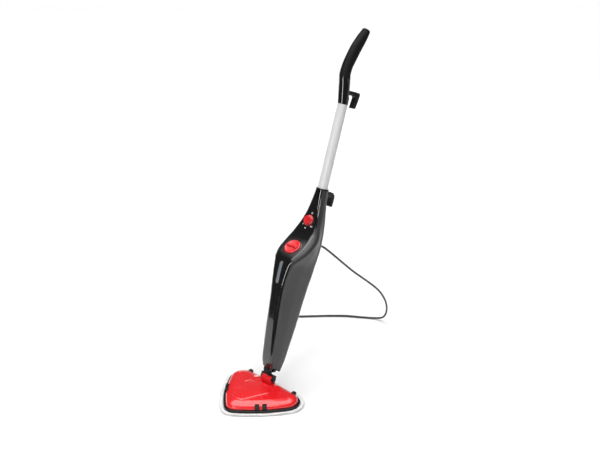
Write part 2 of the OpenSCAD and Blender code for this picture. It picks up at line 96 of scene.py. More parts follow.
def catmull(points, per):
    """A smooth line through points, per steps between each two."""
    pts = [Vector(p) for p in points]
    pts = [pts[0] * 2 - pts[1]] + pts + [pts[-1] * 2 - pts[-2]]
    out = []
    for i in range(1, len(pts) - 2):
        a, b, c, d = pts[i - 1:i + 3]
        for k in range(per):
            t = k / per
            out.append(0.5 * (2 * b + (c - a) * t + (2 * a - 5 * b + 4 * c - d) * t**2
                              + (3 * b - 3 * c + d - a) * t**3))
    return out + [pts[-2]]


def smoothstep(a, b, x):
    """0 below a, 1 above b, and an even rise between."""
    t = max(0.0, min(1.0, (x - a) / (b - a)))
    return t * t * (3 - 2 * t)


def closed_mesh(name, verts, faces, place, weld=1e-6):
    """A mesh in the given frame, its doubled points welded and its faces turned outwards."""
    mesh = bpy.data.meshes.new(name)
    mesh.from_pydata([place @ Vector(v) for v in verts], [], faces)
    bm = bmesh.new()
    bm.from_mesh(mesh)
    bmesh.ops.remove_doubles(bm, verts=bm.verts, dist=weld)
    bmesh.ops.recalc_face_normals(bm, faces=bm.faces)
    bm.to_mesh(mesh)
    bm.free()
    return mesh


def smooth(data, sharp):
    """Smooth shading, but for edges sharper than an angle in degrees."""
    for p in data.polygons:
        p.use_smooth = True
    data.set_sharp_from_angle(angle=math.radians(sharp))


def mesh_piece(name, verts, faces, body, mat, replaces=(), place=WORLD, weld=1e-6, sharp=40):
    """A smooth mesh in the given frame, riding on a body, standing for CAD nodes."""
    return piece(name, closed_mesh(name, verts, faces, place, weld), body, mat, replaces, sharp)


def piece(name, data, body, mat, replaces=(), sharp=None):
    """An object with its material that rides on a body and stands for CAD nodes."""
    obj = bpy.data.objects.new(name, data)
    S.collection.objects.link(obj)
    if sharp is not None:
        smooth(data, sharp)
    data.materials.append(MATS[mat])
    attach(obj, body)
    if replaces:
        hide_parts(*replaces)
    return obj


def loft(rings, cap_start=True, cap_end=True):
    """Vertices and faces of a skin over closed rings of equal size."""
    n = len(rings[0])
    verts = [p for r in rings for p in r]
    faces = [(j * n + i, j * n + (i + 1) % n, (j + 1) * n + (i + 1) % n, (j + 1) * n + i)
             for j in range(len(rings) - 1) for i in range(n)]
    if cap_start:
        faces.append(tuple(range(n - 1, -1, -1)))
    if cap_end:
        faces.append(tuple((len(rings) - 1) * n + i for i in range(n)))
    return verts, faces


def turned(profile, n=96, wobble=None):
    """Vertices and faces of a profile of (radius, height) turned about z, closed on itself."""
    rings = []
    for i in range(n):
        a = 2 * math.pi * i / n
        rings.append([((r + (wobble(a, r, z) if wobble else 0)) * math.cos(a),
                       (r + (wobble(a, r, z) if wobble else 0)) * math.sin(a), z) for r, z in profile])
    m = len(profile)
    verts = [p for r in rings for p in r]
    faces = [(i * m + k, ((i + 1) % n) * m + k, ((i + 1) % n) * m + (k + 1) % m, i * m + (k + 1) % m)
             for i in range(n) for k in range(m)]
    return verts, faces


def round_profile(points, r):
    """Rounds the corners of a closed (radius, height) profile."""
    out, m, n = [], len(points), 4
    for i in range(m):
        p, a, b = Vector(points[i]), Vector(points[i - 1]), Vector(points[(i + 1) % m])
        u, v = (a - p), (b - p)
        k = min(r, u.length * 0.45, v.length * 0.45)
        u, v = u.normalized() * k, v.normalized() * k
        for s in range(n + 1):
            t = s / n
            out.append(tuple((p + u) * (1 - t)**2 + p * 2 * t * (1 - t) + (p + v) * t**2))
    return out


def bevelled(obj, width, segments):
    """Rounds the sharp edges of a hard piece, width in millimetres."""
    m = obj.modifiers.new("round edges", "BEVEL")
    m.width = width * MM
    m.segments = segments
    m.limit_method = "ANGLE"
    m.angle_limit = math.radians(32)
    w = obj.modifiers.new("even shading", "WEIGHTED_NORMAL")
    w.keep_sharp = True
    return obj


def refined(node, body, mat, width, segments=3):
    """A hard CAD piece with rounded edges, in place of its node."""
    bm = bmesh.new()
    bm.from_mesh(nodes[node].data)
    bmesh.ops.remove_doubles(bm, verts=bm.verts, dist=2e-6)
    bmesh.ops.dissolve_limit(bm, angle_limit=math.radians(0.8), verts=bm.verts, edges=bm.edges)
    bmesh.ops.recalc_face_normals(bm, faces=bm.faces)
    mesh = bpy.data.meshes.new(node + "_fine")
    bm.to_mesh(mesh)
    bm.free()
    obj = piece(node + "_fine", mesh, body, mat, (node,), sharp=60)
    return bevelled(obj, width, segments)


def cut(obj, verts, faces, place, name):
    """Cuts a closed form out of obj, and leaves no helper behind."""
    tool = bpy.data.objects.new(name, closed_mesh(name, verts, faces, place))
    S.collection.objects.link(tool)
    m = obj.modifiers.new(name, "BOOLEAN")
    m.object, m.operation, m.solver = tool, "DIFFERENCE", "EXACT"
    bpy.context.view_layer.update()
    done = bpy.data.meshes.new_from_object(obj.evaluated_get(bpy.context.evaluated_depsgraph_get()))
    obj.modifiers.remove(m)
    obj.data = done
    bpy.data.objects.remove(tool)
    return obj


# ================================================================ materials
def surface(name, color, rough, coat=0.0, coat_rough=0.05, metal=0.0, ior=1.5, sheen=0.0,
            mottle=0.05, grain=900.0, grain_depth=0.00002, rough_span=0.06, transmission=0.0,
            direction=None):
    """A procedural material: colour mottling, a fine moulded or brushed grain, and uneven gloss."""
    mat = bpy.data.materials.new(name)
    mat.use_nodes = True
    nt = mat.node_tree
    b = nt.nodes["Principled BSDF"]
    b.inputs["Metallic"].default_value = metal
    b.inputs["IOR"].default_value = ior
    b.inputs["Coat Weight"].default_value = coat
    b.inputs["Coat Roughness"].default_value = coat_rough
    b.inputs["Sheen Weight"].default_value = sheen
    b.inputs["Transmission Weight"].default_value = transmission
    coords = nt.nodes.new("ShaderNodeTexCoord")
    source = coords.outputs["Object"]
    if direction:
        stretch = nt.nodes.new("ShaderNodeMapping")
        stretch.inputs["Scale"].default_value = direction
        nt.links.new(source, stretch.inputs["Vector"])
        source = stretch.outputs["Vector"]

    def noise_node(scale, detail):
        n = nt.nodes.new("ShaderNodeTexNoise")
        n.inputs["Scale"].default_value = scale
        n.inputs["Detail"].default_value = detail
        n.inputs["Roughness"].default_value = 0.55
        nt.links.new(source, n.inputs["Vector"])
        return n.outputs["Fac"]

    def ramp(fac, stops):
        r = nt.nodes.new("ShaderNodeValToRGB")
        r.color_ramp.elements[0].position, r.color_ramp.elements[0].color = stops[0]
        r.color_ramp.elements[1].position, r.color_ramp.elements[1].color = stops[1]
        nt.links.new(fac, r.inputs["Fac"])
        return r.outputs["Color"]

    def span(fac, lo, hi):
        m = nt.nodes.new("ShaderNodeMapRange")
        m.inputs["From Min"].default_value, m.inputs["From Max"].default_value = 0.3, 0.7
        m.inputs["To Min"].default_value, m.inputs["To Max"].default_value = lo, hi
        nt.links.new(fac, m.inputs["Value"])
        return m.outputs["Result"]

    dark = tuple(c * (1 - mottle) for c in color) + (1,)
    light = tuple(min(1.0, c * (1 + mottle)) for c in color) + (1,)
    nt.links.new(ramp(noise_node(14.0, 5.0), [(0.35, dark), (0.65, light)]), b.inputs["Base Color"])
    nt.links.new(span(noise_node(30.0, 4.0), max(0.02, rough - rough_span), rough + rough_span),
                 b.inputs["Roughness"])
    bump = nt.nodes.new("ShaderNodeBump")
    bump.inputs["Strength"].default_value = 1.0
    bump.inputs["Distance"].default_value = grain_depth
    nt.links.new(noise_node(grain, 2.0), bump.inputs["Height"])
    nt.links.new(bump.outputs["Normal"], b.inputs["Normal"])
    return mat


# colour, roughness and the rest of each surface, by material slot
LOOKS = {
    "microfibre": dict(color=(0.83, 0.83, 0.82), rough=0.95, sheen=0.6, mottle=0.05, grain=700,
        grain_depth=0.0006, rough_span=0.03),
    "black_trim": dict(color=(0.012, 0.012, 0.013), rough=0.42, ior=1.4, grain=1500,
        grain_depth=0.00003),
    "black_base": dict(color=(0.006, 0.006, 0.007), rough=0.36, coat=0.12, coat_rough=0.2, ior=1.38,
        grain=1300, grain_depth=0.00002),
    "steel": dict(color=(0.62, 0.62, 0.64), rough=0.28, metal=1.0, mottle=0.08, grain=400,
        grain_depth=0.00001, direction=(1, 1, 12)),
    "red_shell": dict(color=(0.80, 0.012, 0.017), rough=0.26, coat=0.85, coat_rough=0.06, mottle=0.02,
        grain=900, grain_depth=0.000002, rough_span=0.03),
    "red_knob": dict(color=(0.76, 0.012, 0.018), rough=0.30, coat=0.7, coat_rough=0.10, mottle=0.03,
        grain=1200, grain_depth=0.00001, rough_span=0.04),
    "alloy": dict(color=(0.60, 0.61, 0.63), rough=0.42, metal=1.0, mottle=0.10, grain=500,
        grain_depth=0.00005),
    "hose_rubber": dict(color=(0.20, 0.20, 0.20), rough=0.62, mottle=0.08, grain=900,
        grain_depth=0.00005),
    "chassis_plastic": dict(color=(0.045, 0.045, 0.05), rough=0.55, mottle=0.08, grain=700,
        grain_depth=0.00004),
    "black_gloss": dict(color=(0.0045, 0.004, 0.004), rough=0.12, coat=1.0, coat_rough=0.02,
        mottle=0.05, grain=700, grain_depth=0.000002, rough_span=0.03),
    "grey_shell": dict(color=(0.040, 0.040, 0.042), rough=0.40, coat=0.12, coat_rough=0.3, mottle=0.06,
        grain=1600, grain_depth=0.00004, rough_span=0.05),
    "window_plastic": dict(color=(0.22, 0.24, 0.27), rough=0.12, coat=1.0, coat_rough=0.03, mottle=0.12,
        grain=200, grain_depth=0.00001),
    "tank_plastic": dict(color=(0.50, 0.56, 0.62), rough=0.22, mottle=0.05, grain=500,
        grain_depth=0.00002, transmission=0.35),
    "bezel_grey": dict(color=(0.055, 0.058, 0.062), rough=0.24, coat=0.5, coat_rough=0.08, grain=1000,
        grain_depth=0.00001),
    "brass_parts": dict(color=(0.62, 0.43, 0.16), rough=0.32, metal=1.0, mottle=0.12, grain=400,
        grain_depth=0.00002),
    "pump_plastic": dict(color=(0.62, 0.60, 0.52), rough=0.5, mottle=0.05, grain=800,
        grain_depth=0.00003),
    "board": dict(color=(0.01, 0.10, 0.035), rough=0.35, coat=0.4, coat_rough=0.2, mottle=0.25,
        grain=600, grain_depth=0.00004),
    "cord_rubber": dict(color=(0.026, 0.026, 0.027), rough=0.40, coat=0.1, coat_rough=0.3, mottle=0.08,
        grain=800, grain_depth=0.00003),
    "silver_tube": dict(color=(0.86, 0.86, 0.87), rough=0.34, metal=0.0, coat=0.5, coat_rough=0.12,
        mottle=0.015, grain=2500, grain_depth=0.00001, rough_span=0.04),
    "grip_soft": dict(color=(0.007, 0.007, 0.0075), rough=0.62, ior=1.36, mottle=0.12, grain=1400,
        grain_depth=0.00008, rough_span=0.08),
}
MATS = {name: surface(name, **look) for name, look in LOOKS.items()}
for row in frame["record"]["subparts"]:
    obj = nodes[row["node"]]
    obj.data.materials.clear()
    obj.data.materials.append(MATS[row["material_slot"]])

# ================================================================ camera, floor and light
CAM_AT = Vector((2.0028, -1.8742, 1.700))
CAM_YAW, CAM_PITCH = math.radians(44.25), math.radians(22.2)  # turned left of +Y, and looking down
SENSOR, LENS = 36.0, 60.09
cam_data = bpy.data.cameras.new("camera")
cam_data.sensor_width, cam_data.lens = SENSOR, LENS
cam = bpy.data.objects.new("camera", cam_data)
S.collection.objects.link(cam)
S.camera = cam
cam.location = CAM_AT
cam_look = Vector((-math.sin(CAM_YAW) * math.cos(CAM_PITCH), math.cos(CAM_YAW) * math.cos(CAM_PITCH),
                   -math.sin(CAM_PITCH)))
cam.rotation_euler = cam_look.to_track_quat("-Z", "Y").to_euler()

# The floor fills the main view and ends just before it, so that the gloss front mirrors a dark room.
FLOOR_Z = -0.0003
FLOOR = ((-0.75, -1.06), (1.6, 0.5), (-10, 38), (-38, 10))
floor_mesh = bpy.data.meshes.new("floor")
floor_mesh.from_pydata([(x, y, FLOOR_Z) for x, y in FLOOR], [], [(0, 1, 2, 3)])
floor = bpy.data.objects.new("floor", floor_mesh)
S.collection.objects.link(floor)
floor_mesh.materials.append(surface("floor_paint", (0.90, 0.90, 0.90), 0.7, mottle=0.0))

world = bpy.data.worlds.new("studio")
S.world = world
world.use_nodes = True
wn = world.node_tree
sky_at = wn.nodes.new("ShaderNodeTexCoord")
sky_split = wn.nodes.new("ShaderNodeSeparateXYZ")
sky_ramp = wn.nodes.new("ShaderNodeValToRGB")
# a dark room with a bright ceiling: the sky's light comes from high up only
for stop, at, shade in zip(sky_ramp.color_ramp.elements, (0.74, 0.88), (0.03, 1)):
    stop.position, stop.color = at, (shade, shade, shade, 1)
wn.links.new(sky_at.outputs["Generated"], sky_split.inputs["Vector"])
wn.links.new(sky_split.outputs["Z"], sky_ramp.inputs["Fac"])
wn.links.new(sky_ramp.outputs["Color"], wn.nodes["Background"].inputs[0])
wn.nodes["Background"].inputs[1].default_value = 3.2


def softbox(name, at, target, size, power):
    """A rectangular studio lamp turned to its target."""
    data = bpy.data.lights.new(name, "AREA")
    data.shape, data.size, data.size_y, data.energy = "RECTANGLE", size[0], size[1], power
    lamp = bpy.data.objects.new(name, data)
    S.collection.objects.link(lamp)
    lamp.location = at
    lamp.rotation_euler = (Vector(target) - Vector(at)).to_track_quat("-Z", "Y").to_euler()


softbox("key", (0.95, -3.0, 1.15), (0, 0, 0.6), (0.5, 2.3), 36)
softbox("back_left", (-2.9, 2.5, 0.75), (0, 0, 0.1), (0.9, 0.35), 6)
softbox("right", (3.0, -1.8, 2.6), (0, 0.1, 0.4), (0.9, 0.9), 16)

# ================================================================ mains cord
CORD_D = 7.0
# from the gland, down in the air, along the floor behind the mop and up to the hank, in millimetres
CORD_POINTS = [
    (0, 271.4, 430.2), (0, 290, 420), (0, 330, 385), (0, 385, 334), (0, 440, 284), (0, 500, 234),
    (0, 555, 187), (-2, 595, 145), (-8, 628, 98), (-20, 648, 52), (-42, 655, 17),
    (-76, 646, 5), (-118, 618, 4.2), (-162, 588, 4.2), (-205, 548, 4.2), (-245, 505, 4.2),
    (-284, 462, 4.2), (-304, 441.5, 4.2), (-322, 423.5, 4.2)]
HANK = (Matrix.Translation((-0.273, 0.355, -0.0004)) @ Matrix.Rotation(math.radians(135), 4, "Z")
        @ Matrix.Scale(MM, 4))
# the hank's height, half the length of its straight sides, and the radii of its outer and inner turns
HANK_H, HANK_HALF, COL_OUT, COL_IN = 43.0, 55.0, 28.2, 21.2
# height of the first row, row spacing, the share of a turn in which a lane changes, and the turns
ROW_0, ROW_STEP, STEP_BACK, TURNS = 4.6, 7.2, 0.088, 10.55
LANES = 12


def loop_point(p, r):
    """A point at fraction p of one turn of the hank, starting at its far end's middle."""
    quarter = math.pi / 2 * (COL_OUT + COL_IN) / 2
    straight = 2 * HANK_HALF
    s = (p % 1.0) * (4 * quarter + 2 * straight)
    if s < quarter:
        a = s / quarter * math.pi / 2
        return HANK_HALF + r * math.cos(a), r * math.sin(a)
    s -= quarter
    if s < straight:
        return HANK_HALF - s, r
    s -= straight
    if s < 2 * quarter:
        a = math.pi / 2 + s / quarter * math.pi / 2
        return -HANK_HALF + r * math.cos(a), r * math.sin(a)
    s -= 2 * quarter
    if s < straight:
        return -HANK_HALF + s, -r
    s -= straight
    a = -math.pi / 2 + s / quarter * math.pi / 2
    return HANK_HALF + r * math.cos(a), r * math.sin(a)


def lane(k):
    """Radius and height of turn k: out and in by turns, two turns to a row."""
    row = k // 2
    outer = (k % 2 == 0) == (row % 2 == 0)
    return (COL_OUT if outer else COL_IN), ROW_0 + ROW_STEP * row


def winding(total, per_turn=72):
    """The hank's turns, each stepping to the next lane just before the last one did."""
    out = []
    for i in range(int(total * per_turn) + 1):
        p = i / per_turn
        k = min(LANES - 1, int(p / (1 - STEP_BACK)))
        a, b = lane(max(0, k - 1)), lane(k)
        t = smoothstep(0, STEP_BACK, p - k * (1 - STEP_BACK)) if k else 1.0
        r, z = a[0] + (b[0] - a[0]) * t, a[1] + (b[1] - a[1]) * t
        out.append((*loop_point(p, r), z + 4.0 * smoothstep(TURNS - 0.15, TURNS + 0.05, p)))
    return out


def cord_line():
    """The whole cord: the lead, the hank's turns, and the tail that rises over the tie to the plug."""
    turns = winding(TURNS)
    tail = [(-66, -25.5, 46), (-54, -27.6, 47.6), (-42, -26.2, 48.9), (-30, -20.6, 50.3), (-19, -12.2, 52),
            (-9, -4.6, 53.8), (1, -0.6, 54.9), (11, 0, 55.0)]
    wound = [HANK @ Vector(p) for p in turns]
    lead = catmull([WORLD @ Vector(p) for p in CORD_POINTS] + wound[:9:4], 8)[:-16]
    end = catmull([wound[-9], wound[-5], wound[-1]] + [HANK @ Vector(p) for p in tail], 8)[17:]
    return lead + wound[1:] + end


line = cord_line()
cord_curve = bpy.data.curves.new("mains_cord_visual", "CURVE")
cord_curve.dimensions = "3D"
cord_curve.bevel_depth = CORD_D / 2 * MM
cord_curve.bevel_resolution = 5
cord_curve.use_fill_caps = True
sp = cord_curve.splines.new("POLY")
sp.points.add(len(line) - 1)
for q, p in zip(sp.points, line):
    q.co = (*p, 1.0)
sp.use_smooth = True
cord = piece("mains_cord_visual", cord_curve, "pole", "cord_rubber", ("mains_cord", "cord_hank"))

# ================================================================ head
def outline(o, dense=1):
    """The head's outline, o millimetres outside the base: three corners and slightly bulged sides."""
    def side(a, b, bulge, n):
        a, b = Vector(a), Vector(b)
        d = b - a
        m = Vector((d.y, -d.x)).normalized()
        return [tuple(a + d * t + m * bulge * 4 * t * (1 - t)) for t in (i / n for i in range(1, n))]
    n1, n2, n3 = 16 * dense, 24 * dense, 18 * dense
    a = unit_arc(0, -104, 37 + o, 234, 306, n1)
    b = unit_arc(96.5, 17, 46 + o, -30, 86, n2)
    c = unit_arc(-96.5, 17, 46 + o, 94, 210, n2)
    return a + side(a[-1], b[0], 8, n3) + b + side(b[-1], c[0], 3, n3) + c + side(c[-1], a[0], 8, n3)


def ring_at(points, z):
    """A flat outline raised to z, which may be a height or a function of x and y."""
    return [(x, y, z(x, y) if callable(z) else z) for x, y in points]


def shrunk(points, centre, t):
    """An outline drawn in to a centre."""
    return [(centre[0] + (x - centre[0]) * t, centre[1] + (y - centre[1]) * t) for x, y in points]


COVER_Z = 11.4  # the height at which the cover stands on the base
CLOTH_STEPS, MOST_SWELL = 12, 0.0016
PILE_LOOPS = 5200


def cleaning_pad():
    """A padded cloth form, blown out a little by simulation, with a pile and a soft quilt pressed in."""
    edge = [(0.4, 8.0), (0.9, 11.0), (2.2, 13.2), (3.8, 13.6), (5.2, 12.0), (5.9, 9.0), (5.7, 5.0),
            (4.6, 2.0), (3.9, 0.0)]
    verts, faces = loft([ring_at(outline(o), z) for z, o in edge])
    pad = mesh_piece("cleaning_pad_cloth", verts, faces, "head", "microfibre",
                     ("cleaning_pad", "hook_strips"))
    remesh = pad.modifiers.new("remesh", "REMESH")
    remesh.mode, remesh.voxel_size = "VOXEL", 0.0042
    apply_modifiers(pad)
    before = np.array([v.co for v in pad.data.vertices])
    cloth = pad.modifiers.new("cloth", "CLOTH")
    cloth.settings.use_pressure = True
    cloth.settings.uniform_pressure_force = 4.0
    cloth.settings.effector_weights.gravity = 0.0
    cloth.settings.quality = 4
    for step in range(1, CLOTH_STEPS + 1):
        S.frame_set(step)
    bpy.context.view_layer.update()
    apply_modifiers(pad)
    S.frame_set(1)
    after = np.array([v.co for v in pad.data.vertices])
    move = after - before
    far = np.linalg.norm(move, axis=1, keepdims=True)
    after = before + move * np.minimum(1.0, MOST_SWELL / np.maximum(far, 1e-9))
    for v, p in zip(pad.data.vertices, after):
        v.co = p
    fine = pad.modifiers.new("fine", "SUBSURF")
    fine.levels = fine.render_levels = 1
    apply_modifiers(pad)
    normals = [v.normal.copy() for v in pad.data.vertices]
    for v, n in zip(pad.data.vertices, normals):
        p = v.co / MM
        pile = noise.noise(p * 0.42) * 0.55 + noise.noise(p * 1.1) * 0.45
        quilt = noise.noise(Vector((p.x * 0.05, p.y * 0.05, 1.7))) * 0.5
        v.co += n * (pile + quilt) * MM
        v.co.z = max(0.00025, v.co.z)
    for p in pad.data.polygons:
        p.use_smooth = True
    return pad


def apply_modifiers(obj):
    """Keeps the mesh that the modifiers make, and drops them."""
    graph = bpy.context.evaluated_depsgraph_get()
    mesh = bpy.data.meshes.new_from_object(obj.evaluated_get(graph))
    obj.modifiers.clear()
    old = obj.data
    obj.data = mesh
    bpy.data.meshes.remove(old)


def pad_pile():
    """Short twisted yarn loops that stand out all round the pad's edge."""
    ring = outline(12.6, 3)
    n = len(ring)
    verts, faces = [], []
    for _ in range(PILE_LOOPS):
        k = int(rng.integers(n))
        x0, y0 = ring[k]
        x1, y1 = ring[(k + 1) % n]
        t = float(rng.random())
        out = Vector((y1 - y0, x0 - x1, 0)).normalized()
        tilt = float(rng.uniform(-0.6, 1.1))
        z = 3.4 + 2.0 * tilt
        root = Vector((x0 + (x1 - x0) * t, y0 + (y1 - y0) * t, z)) - out * (abs(tilt) * 1.6 + 0.6)
        way = (out * math.cos(tilt) + Vector((0, 0, math.sin(tilt) * 0.7))
               + Vector(rng.normal(0, 0.35, 3).tolist())).normalized()
        length = float(rng.uniform(1.6, 3.0))
        side = way.cross(Vector((0, 0, 1))).normalized()
        up = side.cross(way)
        bend = Vector(rng.normal(0, 0.5, 3).tolist())
        b = len(verts)
        for j, (s, r) in enumerate(((0, 0.42), (0.5, 0.48), (0.85, 0.40), (1.0, 0.16))):
            c = root + way * length * s + bend * s * s
            for a in range(4):
                q = c + (side * math.cos(a * math.pi / 2) + up * math.sin(a * math.pi / 2)) * r
                verts.append((q.x, q.y, max(0.25, q.z)))
        faces += [(b + 4 * j + a, b + 4 * j + (a + 1) % 4, b + 4 * j + 4 + (a + 1) % 4, b + 4 * j + 4 + a)
                  for j in range(3) for a in range(4)] + [(b + 12, b + 13, b + 14, b + 15)]
    mesh = bpy.data.meshes.new("pad_pile")
    mesh.from_pydata([WORLD @ Vector(v) for v in verts], [], faces)
    return piece("pad_pile", mesh, "head", "microfibre", sharp=180)


def pad_binding():
    """The sewn binding that runs round the pad's upper edge."""
    ring = outline(9.6, 2)
    n = len(ring)
    rings = []
    for i, (x, y) in enumerate(ring):
        tx, ty = ring[(i + 1) % n][0] - ring[i - 1][0], ring[(i + 1) % n][1] - ring[i - 1][1]
        out = Vector((ty, -tx, 0)).normalized()
        rings.append([tuple(Vector((x, y, 5.9)) + out * 2.1 * math.cos(a)
                            + Vector((0, 0, 0.8 * math.sin(a)))) for a in
                      (j * math.pi / 5 for j in range(10))])
    verts, faces = loft(rings + [rings[0]], False, False)
    return mesh_piece("pad_binding", verts, faces, "head", "microfibre")


def base_rim():
    """The black base: a tray whose edge shows under the cover, with a parting groove."""
    edge = [(4.4, -2.2), (4.6, -1.1), (5.1, -0.35), (6.0, 0), (7.4, 0), (7.65, -0.4), (8.15, -0.4),
            (8.4, 0), (10.1, 0.1), (10.8, -0.3), (11.3, -1.3), (11.35, -3), (11.35, -6.2), (11.0, -6.9),
            (7.9, -7.0), (7.4, -7.6), (7.4, -20)]
    verts, faces = loft([ring_at(outline(o), z) for z, o in edge])
    return mesh_piece("base_rim", verts, faces, "head", "black_base", ("base_plate",), sharp=50)


COVER_EDGE = [(0.0, -7.0), (0.4, -6.6), (1.5, -6.5), (4.0, -6.9), (7.0, -7.7), (9.5, -9.0), (11.8, -11.0),
              (13.8, -13.6), (15.6, -16.8), (17.2, -20.4), (18.6, -24.4), (19.7, -28.4), (20.6, -32.0)]


def cover_rise(x, y):
    """How far the cover stands above its plain profile: shoulders beside the joint, a ridge before it."""
    shoulder = 5.5 * math.exp(-((abs(x) - 39) / 8.5)**2 - ((y - 32) / 17)**2)
    ridge = 3.0 * math.exp(-(x / 15)**2 - ((y - 16) / 9)**2)
    return shoulder + ridge


def head_cover():
    """The red cover: steep lip, long shoulders and a nearly flat top, with the joint's opening."""
    top = outline(-32.0)
    centre = (0, -28)

    def skin(inset, drop):
        rings = []
        for z, o in COVER_EDGE:
            lift = smoothstep(9, 18, z)
            rings.append(ring_at(outline(o - inset), lambda x, y, z=z, lift=lift:
                                 COVER_Z + z + cover_rise(x, y) * lift - drop * smoothstep(2, 14, z)))
        for t in (0.9, 0.78, 0.64, 0.5, 0.36, 0.22, 0.1):
            rings.append(ring_at(shrunk(top if not inset else outline(-32.0 - inset), centre, t),
                                 lambda x, y: COVER_Z + 20.6 + cover_rise(x, y) - drop))
        return rings
    outer, inner = skin(0, 0), skin(2.4, 2.4)
    n = len(outer[0])
    v1, f1 = loft(outer, cap_start=False)
    v2, f2 = loft(inner, cap_start=False)
    verts = v1 + v2
    faces = f1 + [tuple(len(v1) + i for i in reversed(f)) for f in f2]
    faces += [(i, (i + 1) % n, len(v1) + (i + 1) % n, len(v1) + i) for i in range(n)]
    cover = mesh_piece("cover_shell", verts, faces, "head", "red_shell", ("head_cover",), sharp=50)
    y_pin = PIN.y / MM
    hole = round_rect(-21.0, y_pin - 13.5, 21.0, y_pin + 14.5, 3.5)
    tool_v, tool_f = loft([ring_at(hole, 20.5), ring_at(hole, 70)])
    cut(cover, tool_v, tool_f, WORLD, "joint_hole")
    smooth(cover.data, 42)
    return cover


def round_rect(x0, y0, x1, y1, r, n=6):
    """A rectangle with rounded corners."""
    return (unit_arc(x1 - r, y0 + r, r, -90, 0, n) + unit_arc(x1 - r, y1 - r, r, 0, 90, n)
            + unit_arc(x0 + r, y1 - r, r, 90, 180, n) + unit_arc(x0 + r, y0 + r, r, 180, 270, n))


def dome_outline(o):
    """The raised shield on the cover's front half."""
    return (unit_arc(0, -72, 33 + o, 222, 318, 30) + unit_arc(34, -12, 20 + o, -36, 80, 24)
            + unit_arc(-34, -12, 20 + o, 100, 216, 24))


def cover_dome():
    """The shield: a soft step all round, then a crowned top."""
    edge = [(-1.2, 0.2), (0.2, 0.1), (1.2, -0.25), (2.2, -0.9), (3.0, -2.0), (3.55, -3.6), (3.9, -5.6),
            (4.1, -8.2), (4.35, -11.5)]
    rings = [ring_at(dome_outline(o), COVER_Z + 20.6 + z) for z, o in edge]
    inner, centre = dome_outline(-11.5), (0, -46)
    for t in (0.86, 0.7, 0.52, 0.34, 0.16):
        crown = 4.35 + 1.5 * (1 - t * t)
        rings.append(ring_at(shrunk(inner, centre, t), COVER_Z + 20.6 + crown))
    verts, faces = loft(rings)
    return mesh_piece("cover_shield", verts, faces, "head", "red_shell", ("front_dome",), sharp=60)


cleaning_pad()
pad_pile()
pad_binding()
base_rim()
head_cover()
cover_dome()
refined("cover_clips", "head", "black_base", 0.9)
refined("hinge_boss", "head", "red_shell", 1.6)
refined("tilt_pin", "head", "steel", 0.6, 2)
refined("neck_fork", "neck", "black_base", 1.0)
for side in (-1, 1):
    at = POLE @ Matrix.Translation(PIN_LOCAL) @ Matrix.Rotation(math.radians(90 * side), 4, "Y")
    verts, faces = turned(round_profile([(0.01, 26.7), (6.2, 26.7), (6.2, 28.6), (0.01, 28.6)], 0.7), 48)
    mesh_piece("pin_cap_right" if side > 0 else "pin_cap_left", verts, faces, "neck", "black_base", (), at)
for y, side in ((-61.9, 1), (-30.1, -1)):
    at = POLE @ Matrix.Translation((0, y, 26)) @ Matrix.Rotation(math.radians(90 * side), 4, "X")
    verts, faces = turned(round_profile([(0.01, -0.4), (5.6, -0.4), (5.6, 1.4), (0.01, 1.4)], 0.6), 48)
    mesh_piece("barrel_cap_front" if side > 0 else "barrel_cap_back", verts, faces, "pole", "black_base",
               (), at)
refined("swing_barrel", "pole", "black_base", 1.0)

# ================================================================ body
# w, front, front half width, front radius, rear, rear half width, rear radius, and the angle on the
# front corner where the black panel meets the side shells
BODY = [
    (33, -67, 22, 11, -12, 24, 18, 332), (60, -75.8, 24.5, 11.5, -7, 28, 20, 332),
    (110, -85, 24, 12, -3, 31, 22, 335), (180, -95.5, 23.6, 12, 2, 35, 23, 334),
    (256, -104.5, 24.5, 12, 6, 38, 24, 331), (320, -110.5, 29, 12, 12, 40, 24, 328),
    (345, -111.2, 32.4, 13, 15, 41, 24, 326), (372, -110.3, 38, 16, 18, 41, 24, 317),
    (380, -108.5, 41.4, 18, 19, 41, 24, 308), (390, -104.5, 47, 20, 21, 41, 24, 293),
    (400, -98, 51.5, 22, 22, 41, 24, 286), (410, -90, 55, 22, 23.5, 41, 24, 285),
    (422, -79, 57, 22, 25, 41, 24, 286), (434, -68, 57.5, 22, 26.5, 40, 24, 291),
    (446, -58, 57, 22, 28, 39, 24, 294), (460, -48.5, 54.5, 22, 29, 37, 24, 298),
    (480, -38, 48, 18, 30, 35, 24, 306), (514, -29, 35, 14, 29, 31, 24, 322),
    (550, -23.5, 26.5, 14, 25, 26, 22, 322), (590, -21, 22, 18, 21, 21.5, 20, 316),
    (615, -19.8, 19.8, 19.4, 19.8, 19.8, 19.4, 315)]
BODY_W = sorted(set(list(range(33, 362, 5)) + list(range(362, 460, 3)) + list(range(460, 616, 5)) + [615]))


def front_path(s, t, seam):
    """The front panel's section from its right seam round to its left one, t inside the outer face."""
    end = s[7] - math.degrees(seam / s[3])
    right = unit_arc(s[2] - s[3], s[1] + s[3], s[3] - t, end, 270, 12)
    return right + [(x, s[1] + t) for x in (8, 4, 0)] + [(-x, y) for x, y in
                                                         ([(8, s[1] + t), (4, s[1] + t)][::-1] + right[::-1])]


def rear_path(s, t, seam, x0=0.15):
    """A rear shell's section from the front seam round to the middle of the back."""
    a, b = s[1] + s[3], s[4] - s[6]
    crease = min(3.2, 0.05 * (b - a))
    flat = [(s[2] - t + (s[5] - s[2]) * k / 10 + crease * (1 - abs(k / 5 - 1)**1.2), a + (b - a) * k / 10)
            for k in range(1, 10)]
    return (unit_arc(s[2] - s[3], a, s[3] - t, s[7] + math.degrees(seam / s[3]), 360, 12) + flat
            + unit_arc(s[5] - s[6], b, s[6] - t, 0, 90, 14) + [(x0, s[4] - t)])


